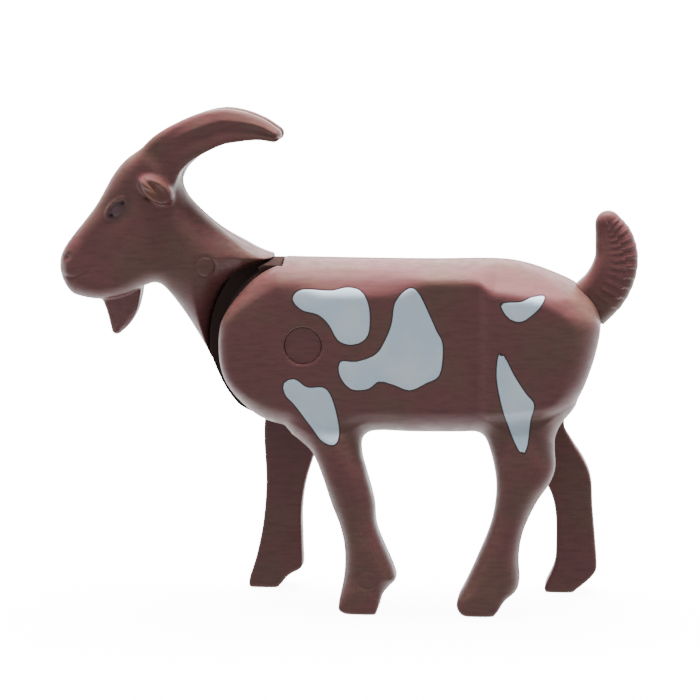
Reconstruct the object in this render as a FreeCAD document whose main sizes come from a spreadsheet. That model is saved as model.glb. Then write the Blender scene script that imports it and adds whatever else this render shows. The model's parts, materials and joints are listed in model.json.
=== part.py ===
import FreeCAD, Part
import math
import os

import Sketcher

# A moulded plastic toy goat, standing, with a head that nods on a pin through the shoulders.
#
# Frame: millimetres, +Z up, ground at Z = 0, origin under the middle of the goat's bounding box.
# The goat faces -X, so its left side is the -Y side. "Across" distances are measured from its
# middle plane, Y = 0, where the left and right mouldings meet.

# Single sizes. Every one becomes a named cell of the sheet.
SIZES = {
    # pivot of the neck and the circles drawn round it
    "pivot_x": -4.2,
    "pivot_z": 30.0,
    "pin_radius": 2.0,
    "pin_half_length": 8.1,
    "running_fit": 0.05,
    "rim_radius": 9.5,
    "rim_top_x": -5.8,
    "rim_foot_x": -5.5,
    "neck_cut_radius": 10.9,
    "lobe_radius": 11.1,
    "hub_radius": 6.7,
    "slot_radius": 11.4,
    "lobe_first_angle": 118.0,
    "nape_radius": 9.9,
    "nape_first_angle": 110.0,
    "nape_last_angle": 122.0,
    "lobe_last_angle": 238.0,
    "slot_first_angle": 107.5,
    "slot_last_angle": 286.0,
    "lobe_half": 4.35,
    "slot_half": 4.7,
    # shells
    "wall": 1.3,
    "head_wall": 1.2,
    "corner_share": 0.55,
    "round_share": 0.9,
    "boss_radius": 3.6,
    "boss_end": 7.6,
    # posts, pegs and sockets that join the halves
    "post_radius": 2.2,
    "post_end": 7.4,
    "peg_radius": 1.2,
    "peg_reach": 3.5,
    "socket_depth": 3.8,
    "head_post_radius": 1.5,
    "head_post_end": 3.3,
    "head_peg_radius": 0.8,
    "head_peg_reach": 1.8,
    "head_socket_depth": 2.0,
    # middle of the tail's base, and how far it leans
    "root_x": 27.15,
    "root_z": 34.0,
    "root_turn": 33.4,
    # moulded eye
    "eye_x": -25.5,
    "eye_z": 44.5,
    "eye_radius": 1.15,
    "eye_start": 2.5,
    "eye_depth": 1.5,
    # reach of cuts that go right through
    "beyond": 60.0,
}

# Trunk, cut square to X.
TRUNK_FIELDS = ("x", "top", "bottom", "across")
TRUNK = [
    (-14.2, 38.5, 20.6, 7.0),
    (-8.5, 38.5, 19.2, 8.2),
    (-2.8, 38.5, 17.2, 8.6),
    (0.7, 38.5, 17.8, 8.5),
    (4.7, 38.5, 19.7, 8.3),
    (11.2, 38.6, 19.9, 8.1),
    (17.7, 38.6, 20.0, 8.8),
    (22.4, 37.5, 21.0, 8.6),
    (25.9, 35.9, 23.8, 6.8),
    (28.4, 32.6, 28.8, 3.0),
]

# Legs, cut square to Z.
LEG_FIELDS = ("z", "front", "back", "inner", "outer")
LEGS = {
    "left_front": [
        (22.0, -5.0, 2.6, 5.2, 8.1),
        (18.0, -3.2, 2.1, 5.1, 8.9),
        (12.0, -0.5, 3.9, 5.1, 9.0),
        (8.0, 0.6, 4.6, 5.2, 8.9),
        (4.2, 0.5, 6.0, 5.0, 9.1),
        (0.0, -0.3, 4.0, 4.8, 9.3),
    ],
    "left_hind": [
        (27.0, 17.0, 25.2, 3.8, 6.6),
        (22.6, 16.1, 24.9, 4.8, 8.4),
        (17.5, 17.0, 23.7, 4.9, 8.9),
        (13.4, 17.3, 22.0, 5.1, 9.0),
        (8.5, 15.9, 20.0, 5.2, 8.9),
        (4.0, 13.9, 19.8, 5.0, 9.1),
        (0.0, 12.8, 17.2, 4.8, 9.3),
    ],
    "right_front": [
        (21.5, -8.4, -2.6, 5.2, 8.1),
        (17.0, -9.8, -3.9, 5.1, 8.9),
        (12.0, -9.8, -5.1, 5.1, 9.0),
        (8.0, -10.1, -5.8, 5.2, 8.9),
        (3.8, -10.9, -5.6, 5.0, 9.1),
        (0.0, -11.8, -8.3, 4.8, 9.3),
    ],
    "right_hind": [
        (27.0, 17.2, 25.4, 3.8, 6.6),
        (22.6, 17.0, 25.3, 4.8, 8.4),
        (18.0, 18.3, 25.2, 4.9, 8.9),
        (13.6, 21.4, 27.4, 5.1, 9.0),
        (8.5, 23.4, 27.8, 5.2, 8.9),
        (3.8, 23.4, 28.2, 5.0, 9.1),
        (0.0, 22.2, 25.7, 4.8, 9.3),
    ],
}

# Skull and muzzle, cut square to X.
SKULL_FIELDS = ("x", "top", "bottom", "across")
SKULL = [
    (-32.45, 38.9, 36.9, 1.4),
    (-31.6, 40.4, 35.3, 2.5),
    (-29.6, 43.0, 34.3, 3.2),
    (-27.3, 46.4, 34.1, 3.6),
    (-24.4, 50.0, 34.9, 4.0),
    (-21.6, 49.7, 36.0, 4.2),
    (-18.8, 47.4, 37.8, 3.6),
]

# Pieces that curve in the middle plane, cut square to their own line. "tilt" leans the section's
# depth away from upright, towards +X.
BENT_FIELDS = ("x", "z", "tilt", "depth", "across")
NECK = [
    (-20.0, 41.5, 15.0, 11.2, 3.7),
    (-18.0, 39.4, 24.0, 9.8, 4.1),
    (-14.7, 36.2, 27.0, 11.3, 4.5),
    (-12.1, 34.2, 31.0, 13.6, 4.7),
]
BEARD = [
    (-25.5, 35.8, 90.0, 4.8, 1.8),
    (-25.6, 33.8, 90.0, 4.0, 1.6),
    (-25.9, 31.9, 90.0, 2.6, 1.2),
    (-26.3, 30.0, 90.0, 0.9, 0.5),
]

# Horn and tail, which are whole across, with the line of their middle at "offset" across.
WHOLE_FIELDS = ("x", "z", "tilt", "depth", "width", "offset")
HORN = [
    (-21.4, 48.2, -76.0, 5.6, 3.3, 2.0),
    (-20.5, 50.2, -64.0, 5.3, 3.3, 2.0),
    (-17.8, 52.2, -39.0, 4.6, 3.1, 2.0),
    (-14.5, 53.8, -16.5, 4.1, 2.8, 2.0),
    (-12.2, 54.05, 5.0, 3.5, 2.5, 2.0),
    (-9.6, 53.9, 20.0, 2.3, 1.9, 2.0),
    (-7.3, 53.1, 35.0, 1.1, 1.0, 2.0),
]
TAIL = [
    (27.15, 34.0, -33.4, 5.2, 4.2, 0.0),
    (28.9, 35.95, -52.0, 5.05, 4.6, 0.0),
    (30.0, 38.5, -68.0, 4.75, 4.6, 0.0),
    (30.02, 41.0, -90.0, 4.35, 4.0, 0.0),
    (29.3, 43.0, -96.0, 3.3, 3.0, 0.0),
    (28.7, 44.3, -108.0, 1.2, 1.2, 0.0),
]

# Ear, cut square to Y at each distance across.
EAR_FIELDS = ("offset", "x", "z", "depth", "height")
EAR = [
    (3.2, -21.3, 46.9, 1.5, 1.9),
    (5.0, -21.0, 46.8, 1.9, 2.3),
    (6.6, -20.7, 46.6, 1.5, 1.8),
    (7.6, -20.4, 46.4, 0.7, 0.9),
]

# Blocks in line with the tail's base: how far in front of it they begin and end, their half height
# and half width. The stem and the key behind it belong to the tail; the seat is only cut from the rump.
ROOT_FIELDS = ("near", "far", "half", "across")
ROOT = [
    (-0.6, 1.6, 1.3, 1.7),
    (1.6, 3.1, 2.2, 1.7),
    (-6.0, 0.0, 2.75, 2.45),
]
STEM, KEY, SEAT = range(3)

# Middles of the joining posts: x, z.
POST_FIELDS = ("x", "z")
BODY_POSTS = [(5.2, 34.4), (19.6, 33.2), (19.4, 25.8)]
HEAD_POSTS = [(-15.6, 37.6), (-25.8, 40.5)]

TABLES = {
    "trunk": (TRUNK_FIELDS, TRUNK),
    "skull": (SKULL_FIELDS, SKULL),
    "neck": (BENT_FIELDS, NECK),
    "beard": (BENT_FIELDS, BEARD),
    "horn": (WHOLE_FIELDS, HORN),
    "tail": (WHOLE_FIELDS, TAIL),
    "ear": (EAR_FIELDS, EAR),
    "root": (ROOT_FIELDS, ROOT),
    "body_post": (POST_FIELDS, BODY_POSTS),
    "head_post": (POST_FIELDS, HEAD_POSTS),
}
for leg_name, leg_rows in LEGS.items():
    TABLES[leg_name] = (LEG_FIELDS, leg_rows)

LEFT = "left"
RIGHT = "right"
START = 1
END = 2
CENTRE = 3

doc = FreeCAD.newDocument("ToyGoat")
sheet = doc.addObject("Spreadsheet::Sheet", "Sizes")


# ---------------------------------------------------------------------------
# Sheet


def fill_sheet():
    """Write every size and every station as a named cell, name in column A, value in column B."""
    cells = dict(SIZES)
    for table, (fields, rows) in TABLES.items():
        for number, row in enumerate(rows):
            for field, amount in zip(fields, row):
                cells[f"{table}_{field}_{number}"] = amount
    for line, (name, amount) in enumerate(cells.items(), start=1):
        sheet.set(f"A{line}", name)
        sheet.set(f"B{line}", str(amount))
        sheet.setAlias(f"B{line}", name)
    doc.recompute()


def cell(name):
    """The expression that reads one cell."""
    return f"Sizes.{name}"


def station(table, field, number):
    """The expression that reads one field of one station."""
    return cell(f"{table}_{field}_{number}")


def amount_of(text):
    """The present value of an expression."""
    return float(sheet.evalExpression(text))


def outward(side, text):
    """An expression for a signed Y at the given distance across, on the given side."""
    return f"-({text})" if side == LEFT else f"({text})"


# ---------------------------------------------------------------------------
# Sketches


def sketch_on(body, name, role, offsets, tilt=None, about=(1, 0, 0)):
    """A sketch on one of the body's origin planes, moved by bound offsets and turned by a bound tilt."""
    sketch = body.newObject("Sketcher::SketchObject", name)
    plane = next(item for item in body.Origin.OriginFeatures if item.Role == role)
    sketch.AttachmentSupport = [(plane, "")]
    sketch.MapMode = "FlatFace"
    base = FreeCAD.Vector(*[amount_of(text) for text in offsets])
    angle = amount_of(tilt) if tilt else 0.0
    sketch.AttachmentOffset = FreeCAD.Placement(base, FreeCAD.Rotation(FreeCAD.Vector(*about), angle))
    for axis, text in zip("xyz", offsets):
        sketch.setExpression(f"AttachmentOffset.Base.{axis}", text)
    if tilt:
        sketch.setExpression("AttachmentOffset.Rotation.Angle", tilt)
    return sketch


def name_and_bind(sketch, constraint, name, text):
    """Add a dimension with a name and bind it to an expression."""
    number = sketch.addConstraint(constraint)
    sketch.renameConstraint(number, name)
    sketch.setExpression(f"Constraints.{name}", text)


def bind_point(sketch, direction, element, point, name, text):
    """Bind how far a point lies from the origin, along DistanceX or DistanceY, to an expression."""
    constraint = Sketcher.Constraint(direction, -1, START, element, point, amount_of(text))
    name_and_bind(sketch, constraint, name, text)


def bind_middle(sketch, element, middle_x, middle_y):
    """Bind the centre of a circle or an arc to two expressions."""
    bind_point(sketch, "DistanceX", element, CENTRE, "middle_x", middle_x)
    bind_point(sketch, "DistanceY", element, CENTRE, "middle_y", middle_y)


def bind_edges(sketch, lines, texts):
    """Bind the bottom, right, top and left lines of a rectangle to four expressions."""
    low_x, high_x, low_y, high_y = texts
    bind_point(sketch, "DistanceX", lines[3], START, "low_x", low_x)
    bind_point(sketch, "DistanceX", lines[1], START, "high_x", high_x)
    bind_point(sketch, "DistanceY", lines[0], START, "low_y", low_y)
    bind_point(sketch, "DistanceY", lines[2], START, "high_y", high_y)


def add_rectangle(sketch, low_x, high_x, low_y, high_y):
    """A rectangle given by expressions."""
    left, right, bottom, top = [amount_of(text) for text in (low_x, high_x, low_y, high_y)]
    corners = [FreeCAD.Vector(x, y) for x, y in ((left, bottom), (right, bottom), (right, top), (left, top))]
    lines = []
    for start, end in zip(corners, corners[1:] + corners[:1]):
        lines.append(sketch.addGeometry(Part.LineSegment(start, end), False))
    for number, line in enumerate(lines):
        sketch.addConstraint(Sketcher.Constraint("Coincident", line, END, lines[(number + 1) % 4], START))
        direction = "Horizontal" if number % 2 == 0 else "Vertical"
        sketch.addConstraint(Sketcher.Constraint(direction, line))
    bind_edges(sketch, lines, (low_x, high_x, low_y, high_y))


def add_rounded_outline(sketch, low_x, high_x, low_y, high_y, radius, square_side=None):
    """A rectangle with round corners, given by expressions; the corners on square_side stay sharp."""
    left, right, bottom, top, corner = [amount_of(t) for t in (low_x, high_x, low_y, high_y, radius)]
    corners = [(left, bottom), (right, bottom), (right, top), (left, top)]
    rounded = [square_side != "low", square_side != "high", square_side != "high", square_side != "low"]
    inward = [(1, 1), (-1, 1), (-1, -1), (1, -1)]
    along = [(1, 0), (0, 1), (-1, 0), (0, -1)]
    lines = []
    for number in range(4):
        after = (number + 1) % 4
        trim_start = corner if rounded[number] else 0.0
        trim_end = corner if rounded[after] else 0.0
        along_edge = FreeCAD.Vector(*along[number])
        start = FreeCAD.Vector(*corners[number]) + along_edge * trim_start
        end = FreeCAD.Vector(*corners[after]) - along_edge * trim_end
        lines.append(sketch.addGeometry(Part.LineSegment(start, end), False))
    arcs = {}
    for number in range(4):
        if not rounded[number]:
            continue
        middle = FreeCAD.Vector(
            corners[number][0] + inward[number][0] * corner, corners[number][1] + inward[number][1] * corner
        )
        circle = Part.Circle(middle, FreeCAD.Vector(0, 0, 1), corner)
        first = math.pi + number * math.pi / 2
        arcs[number] = sketch.addGeometry(Part.ArcOfCircle(circle, first, first + math.pi / 2), False)
    for number in range(4):
        before = lines[(number - 1) % 4]
        if number in arcs:
            sketch.addConstraint(Sketcher.Constraint("Tangent", before, END, arcs[number], START))
            sketch.addConstraint(Sketcher.Constraint("Tangent", arcs[number], END, lines[number], START))
        else:
            sketch.addConstraint(Sketcher.Constraint("Coincident", before, END, lines[number], START))
        direction = "Horizontal" if number % 2 == 0 else "Vertical"
        sketch.addConstraint(Sketcher.Constraint(direction, lines[number]))
    bind_edges(sketch, lines, (low_x, high_x, low_y, high_y))
    first_arc, *other_arcs = arcs.values()
    name_and_bind(sketch, Sketcher.Constraint("Radius", first_arc, corner), "corner", radius)
    for arc in other_arcs:
        sketch.addConstraint(Sketcher.Constraint("Equal", first_arc, arc))


def add_circle(sketch, middle_x, middle_y, radius):
    """A circle given by expressions."""
    x, y, size = [amount_of(text) for text in (middle_x, middle_y, radius)]
    circle = sketch.addGeometry(Part.Circle(FreeCAD.Vector(x, y), FreeCAD.Vector(0, 0, 1), size), False)
    bind_middle(sketch, circle, middle_x, middle_y)
    name_and_bind(sketch, Sketcher.Constraint("Radius", circle, size), "size", radius)


def add_pivot_sector(sketch, radius, first_angle, last_angle):
    """A slice of a disc centred on the pivot, between two angles in degrees, given by expressions."""
    x, y, size = [amount_of(t) for t in (cell("pivot_x"), cell("pivot_z"), radius)]
    first, last = [math.radians(amount_of(t)) for t in (first_angle, last_angle)]
    middle = FreeCAD.Vector(x, y)
    circle = Part.Circle(middle, FreeCAD.Vector(0, 0, 1), size)
    arc = sketch.addGeometry(Part.ArcOfCircle(circle, first, last), False)
    edges = []
    for angle, arc_end in ((first, START), (last, END)):
        tip = middle + FreeCAD.Vector(size * math.cos(angle), size * math.sin(angle))
        edge = sketch.addGeometry(Part.LineSegment(middle, tip), False)
        sketch.addConstraint(Sketcher.Constraint("Coincident", edge, START, arc, CENTRE))
        sketch.addConstraint(Sketcher.Constraint("Coincident", edge, END, arc, arc_end))
        edges.append(edge)
    bind_middle(sketch, arc, cell("pivot_x"), cell("pivot_z"))
    name_and_bind(sketch, Sketcher.Constraint("Radius", arc, size), "size", radius)
    name_and_bind(sketch, Sketcher.Constraint("Angle", edges[0], first), "first", f"{first_angle} * 1 deg")
    name_and_bind(sketch, Sketcher.Constraint("Angle", edges[1], last), "last", f"{last_angle} * 1 deg")


def add_region_ahead_of_rim(sketch):
    """Everything in front of the shells' round rim, down to the foot of the rim and straight below it."""
    x, y, size = [amount_of(cell(name)) for name in ("pivot_x", "pivot_z", "rim_radius")]
    top_x, foot_x, far = [amount_of(cell(name)) for name in ("rim_top_x", "rim_foot_x", "beyond")]
    top_z = y + math.sqrt(size**2 - (top_x - x) ** 2)
    foot_z = y - math.sqrt(size**2 - (foot_x - x) ** 2)
    circle = Part.Circle(FreeCAD.Vector(x, y), FreeCAD.Vector(0, 0, 1), size)
    first = math.atan2(top_z - y, top_x - x)
    last = math.atan2(foot_z - y, foot_x - x) + 2 * math.pi
    arc = sketch.addGeometry(Part.ArcOfCircle(circle, first, last), False)
    points = [(top_x, top_z), (top_x, far), (-far, far), (-far, -far), (foot_x, -far), (foot_x, foot_z)]
    vectors = [FreeCAD.Vector(*point) for point in points]
    lines = []
    for start, end in zip(vectors, vectors[1:]):
        lines.append(sketch.addGeometry(Part.LineSegment(start, end), False))
    sketch.addConstraint(Sketcher.Constraint("Coincident", arc, START, lines[0], START))
    for before, after in zip(lines, lines[1:]):
        sketch.addConstraint(Sketcher.Constraint("Coincident", before, END, after, START))
    sketch.addConstraint(Sketcher.Constraint("Coincident", arc, END, lines[-1], END))
    for number, line in enumerate(lines):
        direction = "Vertical" if number % 2 == 0 else "Horizontal"
        sketch.addConstraint(Sketcher.Constraint(direction, line))
    bind_middle(sketch, arc, cell("pivot_x"), cell("pivot_z"))
    bind_point(sketch, "DistanceX", arc, START, "top_x", cell("rim_top_x"))
    bind_point(sketch, "DistanceX", arc, END, "foot_x", cell("rim_foot_x"))
    bind_point(sketch, "DistanceX", lines[2], START, "far_x", f"-1 * {cell('beyond')}")
    bind_point(sketch, "DistanceY", lines[2], START, "far_top", cell("beyond"))
    bind_point(sketch, "DistanceY", lines[2], END, "far_bottom", f"-1 * {cell('beyond')}")
    name_and_bind(sketch, Sketcher.Constraint("Radius", arc, size), "size", cell("rim_radius"))


# ---------------------------------------------------------------------------
# Features


def loft_through(body, kind, name, sketches):
    """An AdditiveLoft or SubtractiveLoft through the sketches in order."""
    feature = body.newObject(f"PartDesign::{kind}", name)
    feature.Profile = sketches[0]
    feature.Sections = sketches[1:]
    feature.Ruled = False
    for sketch in sketches:
        sketch.Visibility = False
    doc.recompute()
    return feature


def upright_sketch(body, name, from_left, at_root):
    """A sketch in X and Z at a distance out on the left side, or in line with the tail's base."""
    if at_root:
        offsets = (cell("root_x"), cell("root_z"), from_left)
        return sketch_on(body, f"{name}_sketch", "XZ_Plane", offsets, cell("root_turn"), (0, 0, 1))
    return sketch_on(body, f"{name}_sketch", "XZ_Plane", ("0", "0", from_left))


def pad_outward(body, name, side, start, length, draw, at_root=False):
    """Pad a shape drawn in X and Z, from the distance start across the goat, outwards by length."""
    sketch = upright_sketch(body, name, f"-1 * {outward(side, start)}", at_root)
    draw(sketch)
    pad = body.newObject("PartDesign::Pad", name)
    pad.Profile = sketch
    pad.Reversed = side == RIGHT
    pad.setExpression("Length", length)
    doc.recompute()
    return pad


def cut_across(body, name, from_left, length, draw, at_root=False):
    """Cut a shape drawn in X and Z, from the distance from_left on the left side, rightwards by length."""
    before = body.Shape.Volume
    sketch = upright_sketch(body, name, from_left, at_root)
    draw(sketch)
    pocket = body.newObject("PartDesign::Pocket", name)
    pocket.Profile = sketch
    pocket.setExpression("Length", length)
    doc.recompute()
    if body.Shape.Volume >= before:
        raise RuntimeError(f"{body.Label}: {name} cut nothing")
    return pocket


def cut_through(body, name, draw):
    """Cut a shape drawn in X and Z right through the goat from side to side."""
    return cut_across(body, name, cell("beyond"), f"2 * {cell('beyond')}", draw)


def corner_radius(share, first, second):
    """A corner radius as a share of the smaller of two half sizes."""
    return f"{cell(share)} * min({first}; {second})"


def half_sections(body, table, side, share, numbers, thinner="0", bent=False):
    """Sections with their flat side on the middle plane, drawn in by the distance thinner."""
    sketches = []
    for number in numbers:
        across = f"({station(table, 'across', number)} - {thinner})"
        if bent:
            half_depth = f"({station(table, 'depth', number)} / 2 - {thinner})"
            low, high = f"-1 * {half_depth}", half_depth
            offsets = ("0", station(table, "z", number), station(table, "x", number))
            tilt = station(table, "tilt", number)
        else:
            low = f"{station(table, 'bottom', number)} + {thinner}"
            high = f"{station(table, 'top', number)} - {thinner}"
            half_depth = f"(({high}) - ({low})) / 2"
            offsets = ("0", "0", station(table, "x", number))
            tilt = None
        kind = "inside" if thinner != "0" else "outside"
        sketch = sketch_on(body, f"{table}_{kind}_{number}", "YZ_Plane", offsets, tilt)
        radius = corner_radius(share, across, half_depth)
        if side == LEFT:
            add_rounded_outline(sketch, f"-1 * {across}", "0", low, high, radius, "high")
        else:
            add_rounded_outline(sketch, "0", across, low, high, radius, "low")
        sketches.append(sketch)
    return sketches


def whole_sections(body, table, side, share):
    """Sections that are whole across, square to a line that curves in the goat's length."""
    sketches = []
    for number in range(len(TABLES[table][1])):
        offsets = (
            outward(side, station(table, "offset", number)),
            station(table, "z", number),
            station(table, "x", number),
        )
        sketch = sketch_on(body, f"{table}_{number}", "YZ_Plane", offsets, station(table, "tilt", number))
        half_width = f"({station(table, 'width', number)} / 2)"
        half_depth = f"({station(table, 'depth', number)} / 2)"
        radius = corner_radius(share, half_width, half_depth)
        bounds = (f"-1 * {half_width}", half_width, f"-1 * {half_depth}", half_depth)
        add_rounded_outline(sketch, *bounds, radius)
        sketches.append(sketch)
    return sketches


def leg_sections(body, table, side):
    """Level sections of a leg, from the trunk down to the sole."""
    sketches = []
    for number in range(len(TABLES[table][1])):
        front, back, inner, outer = [station(table, f, number) for f in ("front", "back", "inner", "outer")]
        sketch = sketch_on(body, f"{table}_{number}", "XY_Plane", ("0", "0", station(table, "z", number)))
        nearer, farther = (inner, outer) if side == RIGHT else (f"-1 * {outer}", f"-1 * {inner}")
        radius = corner_radius("round_share", f"(({back} - {front}) / 2)", f"(({outer} - {inner}) / 2)")
        add_rounded_outline(sketch, front, back, nearer, farther, radius)
        sketches.append(sketch)
    return sketches


def ear_sections(body, side):
    """Upright sections of the ear, from inside the skull out to its tip."""
    sketches = []
    for number in range(len(EAR)):
        offset, x, z, depth, height = [station("ear", field, number) for field in EAR_FIELDS]
        sketch = sketch_on(body, f"ear_{number}", "XZ_Plane", ("0", "0", f"-1 * {outward(side, offset)}"))
        half_depth, half_height = f"({depth} / 2)", f"({height} / 2)"
        ends = (f"{x} - {half_depth}", f"{x} + {half_depth}")
        heights = (f"{z} - {half_height}", f"{z} + {half_height}")
        add_rounded_outline(sketch, *ends, *heights, corner_radius("round_share", half_depth, half_height))
        sketches.append(sketch)
    return sketches


def circle(x, z, radius):
    """A drawing of a circle."""
    return lambda sketch: add_circle(sketch, x, z, radius)


def circle_at_pivot(radius):
    """A drawing of a circle round the pivot."""
    return circle(cell("pivot_x"), cell("pivot_z"), radius)


def sector_at_pivot(part):
    """A drawing of one part's slice of a disc round the pivot."""
    sizes = [cell(f"{part}_{field}") for field in ("radius", "first_angle", "last_angle")]
    return lambda sketch: add_pivot_sector(sketch, *sizes)


def root_block(number):
    """A drawing of one block in line with the tail's base."""
    near, far, half = [station("root", field, number) for field in ("near", "far", "half")]
    return lambda sketch: add_rectangle(sketch, f"-1 * {far}", f"-1 * {near}", f"-1 * {half}", half)


def circle_at_post(table, number, radius):
    """A drawing of a circle round one joining post."""
    return circle(station(table, "x", number), station(table, "z", number), radius)


def add_posts(body, table, side, post_radius, post_end):
    """Posts from the middle plane out to the shell."""
    for number in range(len(TABLES[table][1])):
        draw = circle_at_post(table, number, cell(post_radius))
        pad_outward(body, f"post_{number}", side, "0", cell(post_end), draw)


def add_pegs_or_sockets(body, table, side, peg_radius, peg_reach, socket_depth):
    """Pegs on the left moulding, and sockets on the right one that they press into."""
    for number in range(len(TABLES[table][1])):
        draw = circle_at_post(table, number, cell(peg_radius))
        if side == LEFT:
            pad_outward(body, f"peg_{number}", RIGHT, "0", cell(peg_reach), draw)
        else:
            cut_across(body, f"socket_{number}", "0", cell(socket_depth), draw)


# ---------------------------------------------------------------------------
# Sub-parts


def new_body(label):
    """An empty body at the frame's origin."""
    body = doc.addObject("PartDesign::Body", label)
    body.Label = label
    body.Placement = FreeCAD.Placement()
    return body


def make_body_half(side):
    """One hollow half of the trunk with its two legs, its share of the neck slot and the pin's boss."""
    body = new_body(f"body_{side}")
    stations = range(len(TRUNK))
    loft_through(body, "AdditiveLoft", "trunk", half_sections(body, "trunk", side, "corner_share", stations))
    hollow = range(1, len(TRUNK) - 2)
    cavity = half_sections(body, "trunk", side, "corner_share", hollow, cell("wall"))
    loft_through(body, "SubtractiveLoft", "cavity", cavity)
    pad_outward(
        body,
        "pivot_boss",
        side,
        cell("slot_half"),
        f"{cell('boss_end')} - {cell('slot_half')}",
        circle_at_pivot(cell("boss_radius")),
    )
    add_posts(body, "body_post", side, "post_radius", "post_end")
    cut_through(body, "rim", add_region_ahead_of_rim)
    for leg in ("front", "hind"):
        sections = leg_sections(body, f"{side}_{leg}", side)
        loft_through(body, "AdditiveLoft", f"{leg}_leg", sections)
    cut_across(body, "neck_slot", cell("slot_half"), f"2 * {cell('slot_half')}", sector_at_pivot("slot"))
    cut_through(body, "pin_hole", circle_at_pivot(cell("pin_radius")))
    for name, number in (("stem_seat", STEM), ("key_seat", KEY), ("tail_seat", SEAT)):
        across = station("root", "across", number)
        cut_across(body, name, across, f"2 * {across}", root_block(number), at_root=True)
    add_pegs_or_sockets(body, "body_post", side, "peg_radius", "peg_reach", "socket_depth")
    return body


def make_head_half(side):
    """One half of the neck and head, with horn, ear, eye and half of the beard."""
    body = new_body(f"head_{side}")
    stations = range(len(NECK))
    sections = half_sections(body, "neck", side, "round_share", stations, bent=True)
    loft_through(body, "AdditiveLoft", "neck", sections)
    cut_through(body, "neck_hollow_edge", circle_at_pivot(cell("neck_cut_radius")))
    stations = range(len(SKULL))
    loft_through(body, "AdditiveLoft", "skull", half_sections(body, "skull", side, "round_share", stations))
    hollow = range(2, len(SKULL) - 1)
    cavity = half_sections(body, "skull", side, "round_share", hollow, cell("head_wall"))
    loft_through(body, "SubtractiveLoft", "skull_cavity", cavity)
    stations = range(len(BEARD))
    sections = half_sections(body, "beard", side, "round_share", stations, bent=True)
    loft_through(body, "AdditiveLoft", "beard", sections)
    loft_through(body, "AdditiveLoft", "horn", whole_sections(body, "horn", side, "round_share"))
    loft_through(body, "AdditiveLoft", "ear", ear_sections(body, side))
    eye_outline = circle(cell("eye_x"), cell("eye_z"), cell("eye_radius"))
    pad_outward(body, "eye", side, cell("eye_start"), cell("eye_depth"), eye_outline)
    for part in ("lobe", "nape"):
        pad_outward(body, part, side, "0", cell("lobe_half"), sector_at_pivot(part))
    pad_outward(body, "hub", side, "0", cell("lobe_half"), circle_at_pivot(cell("hub_radius")))
    add_posts(body, "head_post", side, "head_post_radius", "head_post_end")
    cut_through(body, "pin_bore", circle_at_pivot(f"{cell('pin_radius')} + {cell('running_fit')}"))
    names = ("head_peg_radius", "head_peg_reach", "head_socket_depth")
    add_pegs_or_sockets(body, "head_post", side, *names)
    return body


def make_tail():
    """The upright curved tail, with the stem and key that the body halves close on."""
    body = new_body("tail")
    loft_through(body, "AdditiveLoft", "plume", whole_sections(body, "tail", RIGHT, "round_share"))
    for side in (LEFT, RIGHT):
        for name, number in (("stem", STEM), ("key", KEY)):
            across = station("root", "across", number)
            pad_outward(body, f"{name}_{side}", side, "0", across, root_block(number), at_root=True)
    return body


def make_pin():
    """The pin through both shoulders that the head turns on."""
    body = new_body("neck_pivot_pin")
    for side in (LEFT, RIGHT):
        pad_outward(
            body, f"shank_{side}", side, "0", cell("pin_half_length"), circle_at_pivot(cell("pin_radius"))
        )
    return body


def check(bodies):
    """Stop if any object failed or any sub-part has no sound shape."""
    for item in doc.Objects:
        if "Invalid" in item.State or "Error" in item.State:
            raise RuntimeError(f"{item.Name} failed: {item.State}")
    for body in bodies:
        shape = body.Shape
        if shape.isNull() or not shape.isValid() or len(shape.Solids) != 1:
            raise RuntimeError(f"{body.Label} is not one sound solid")


fill_sheet()
sub_parts = [
    make_body_half(LEFT),
    make_body_half(RIGHT),
    make_head_half(LEFT),
    make_head_half(RIGHT),
    make_tail(),
    make_pin(),
]
doc.recompute()
check(sub_parts)
os.makedirs("parts", exist_ok=True)
for sub_part in sub_parts:
    sub_part.Shape.exportStep(f"parts/{sub_part.Label}.step")
    box = sub_part.Shape.BoundBox
    print(sub_part.Label, round(sub_part.Shape.Volume, 1), box)
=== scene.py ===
import json
import math

import bpy
import numpy as np
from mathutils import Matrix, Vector


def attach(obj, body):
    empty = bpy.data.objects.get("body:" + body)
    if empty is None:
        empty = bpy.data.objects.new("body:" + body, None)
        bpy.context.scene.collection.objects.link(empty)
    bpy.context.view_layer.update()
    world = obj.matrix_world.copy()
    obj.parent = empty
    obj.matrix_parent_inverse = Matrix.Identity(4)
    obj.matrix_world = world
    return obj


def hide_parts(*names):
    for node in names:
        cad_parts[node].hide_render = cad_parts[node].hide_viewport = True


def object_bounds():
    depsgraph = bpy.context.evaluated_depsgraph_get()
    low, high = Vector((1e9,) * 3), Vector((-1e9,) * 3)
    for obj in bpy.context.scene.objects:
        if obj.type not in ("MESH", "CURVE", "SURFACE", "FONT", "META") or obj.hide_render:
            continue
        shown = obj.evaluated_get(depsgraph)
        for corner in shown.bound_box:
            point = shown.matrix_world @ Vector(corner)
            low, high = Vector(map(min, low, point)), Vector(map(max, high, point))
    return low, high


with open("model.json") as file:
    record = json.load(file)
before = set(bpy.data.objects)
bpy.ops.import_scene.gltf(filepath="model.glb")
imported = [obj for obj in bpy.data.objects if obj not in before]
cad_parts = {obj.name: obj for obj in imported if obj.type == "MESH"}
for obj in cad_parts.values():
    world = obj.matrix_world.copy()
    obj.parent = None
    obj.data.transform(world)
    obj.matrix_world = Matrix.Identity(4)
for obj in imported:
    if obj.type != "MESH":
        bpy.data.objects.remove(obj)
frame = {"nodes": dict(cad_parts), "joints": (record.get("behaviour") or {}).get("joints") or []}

import openvdb

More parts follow.
